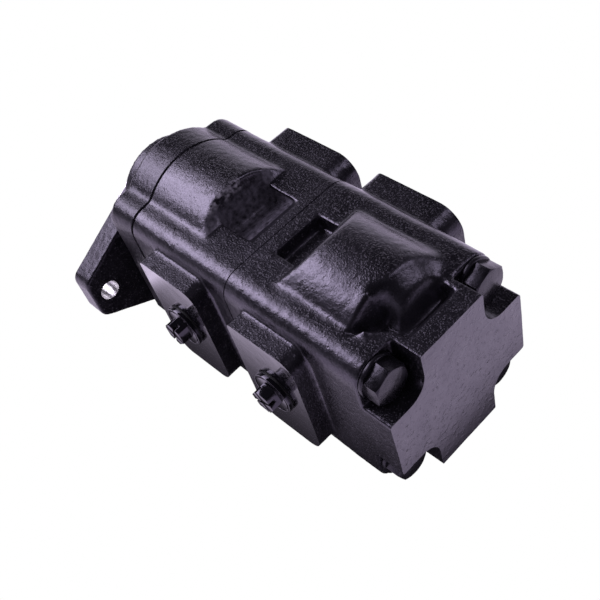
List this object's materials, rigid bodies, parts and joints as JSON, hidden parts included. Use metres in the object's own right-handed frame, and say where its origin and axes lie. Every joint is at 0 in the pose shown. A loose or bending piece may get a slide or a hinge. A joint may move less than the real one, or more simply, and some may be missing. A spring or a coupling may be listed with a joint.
{
  "type": "hydraulic pump",
  "caption": "Tandem external gear pump in iron castings held by long bolts, with a two-bolt mounting flange, a keyed drive shaft, plugged ports and gears that turn in mesh.",
  "frame": {"origin": "on the drive shaft's axis at the mounting face of the flange", "axes": "+X from the mounting face towards the rear of the pump, -Y towards the pressure ports, +Y towards the inlet ports, +Z from the drive shaft towards the driven shaft"},
  "size_m": [0.3138, 0.173, 0.1454],
  "materials": {
    "painted_casting": "gloss black paint over sand-cast iron",
    "blackened_fastener": "black paint over forged steel",
    "black_plastic": "moulded black plastic",
    "rubber": "matt moulded rubber",
    "white_plastic": "natural white plastic",
    "block_iron": "machined iron",
    "bronze": "turned bronze",
    "ground_steel": "ground steel"
  },
  "bodies": {
    "root": {"backup_ring_centre": "white_plastic", "backup_ring_front": "white_plastic", "backup_ring_inner": "white_plastic", "backup_ring_rear": "white_plastic", "balance_seal_centre": "rubber", "balance_seal_front": "rubber", "balance_seal_inner": "rubber", "balance_seal_rear": "rubber", "centre_bush_block": "block_iron", "centre_bushes": "bronze", "cover_bushes": "bronze", "front_cover": "painted_casting", "front_dowels": "ground_steel", "front_housing": "painted_casting", "front_joint_seal": "rubber", "front_wear_plate": "bronze", "garter_spring": "ground_steel", "housing_bushes": "bronze", "inlet_gasket_front": "rubber", "inlet_gasket_rear": "rubber", "inlet_plug_front": "black_plastic", "inlet_plug_rear": "black_plastic", "inner_wear_plate": "bronze", "pressure_gasket_front": "rubber", "pressure_gasket_rear": "rubber", "pressure_plug_front": "black_plastic", "pressure_plug_rear": "black_plastic", "rear_bush_block": "block_iron", "rear_bushes": "bronze", "rear_dowels": "ground_steel", "rear_housing": "painted_casting", "rear_joint_seal": "rubber", "retaining_ring": "ground_steel", "seal_case": "ground_steel", "seal_lip": "rubber", "tie_bolt_washers": "blackened_fastener", "tie_bolts": "blackened_fastener"},
    "drive": {"drive_shaft": "ground_steel", "shaft_key": "ground_steel", "coupling_sleeve": "ground_steel", "rear_drive_gear": "ground_steel"},
    "front_driven": {"front_driven_gear": "ground_steel"},
    "rear_driven": {"rear_driven_gear": "ground_steel"}
  },
  "joints": [
    {"name": "drive_spin", "type": "hinge", "parent": "root", "child": "drive", "pos_m": [0, 0, 0], "axis": [1, 0, 0], "continuous": true},
    {"name": "front_driven_spin", "type": "hinge", "parent": "root", "child": "front_driven", "pos_m": [0.081, 0, 0.04], "axis": [1, 0, 0], "continuous": true},
    {"name": "rear_driven_spin", "type": "hinge", "parent": "root", "child": "rear_driven", "pos_m": [0.192, 0, 0.04], "axis": [1, 0, 0], "continuous": true}
  ],
  "couplings": [
    {"joint": "front_driven_spin", "follows": "drive_spin", "ratio": -1},
    {"joint": "rear_driven_spin", "follows": "drive_spin", "ratio": -1}
  ]
}
